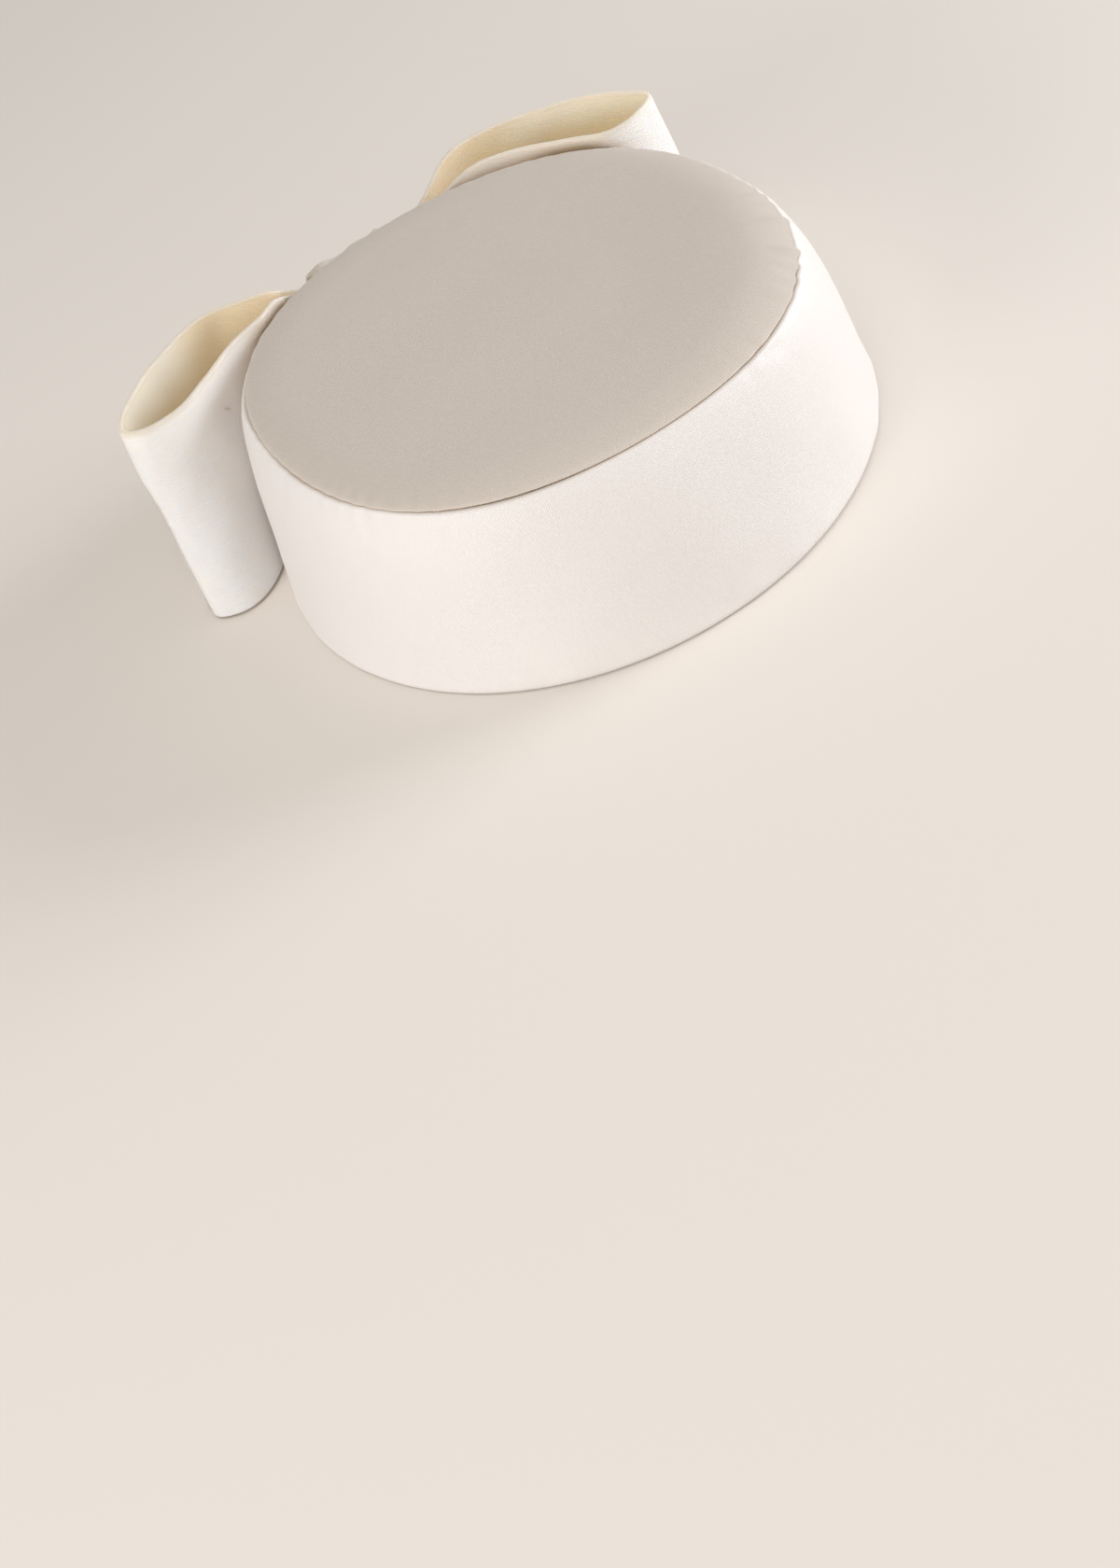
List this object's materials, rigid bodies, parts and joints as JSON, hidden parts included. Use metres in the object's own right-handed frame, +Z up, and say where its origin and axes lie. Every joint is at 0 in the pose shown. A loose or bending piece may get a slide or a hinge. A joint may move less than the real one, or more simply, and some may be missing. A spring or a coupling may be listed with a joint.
{
  "type": "pillbox hat",
  "caption": "Ivory satin pillbox hat with a padded flat tip, a flared side band with a turned-under rim, and a ribbon bow gathered by a knot against the back",
  "frame": {"origin": "centre of the rim, on the surface the hat rests on", "axes": "+Z up through the flat tip, -Y the way the wearer faces, +Y towards the bow at the back, +X along the bow to its right loop as seen from the front"},
  "size_m": [0.1987, 0.1951, 0.0611],
  "materials": {
    "tip_satin": "satin",
    "band_satin": "satin",
    "bow_satin": "satin"
  },
  "bodies": {
    "root": {"tip": "tip_satin", "side_band": "band_satin", "bow_loop_left": "bow_satin", "bow_loop_right": "bow_satin", "bow_knot": "bow_satin"}
  },
  "joints": []
}
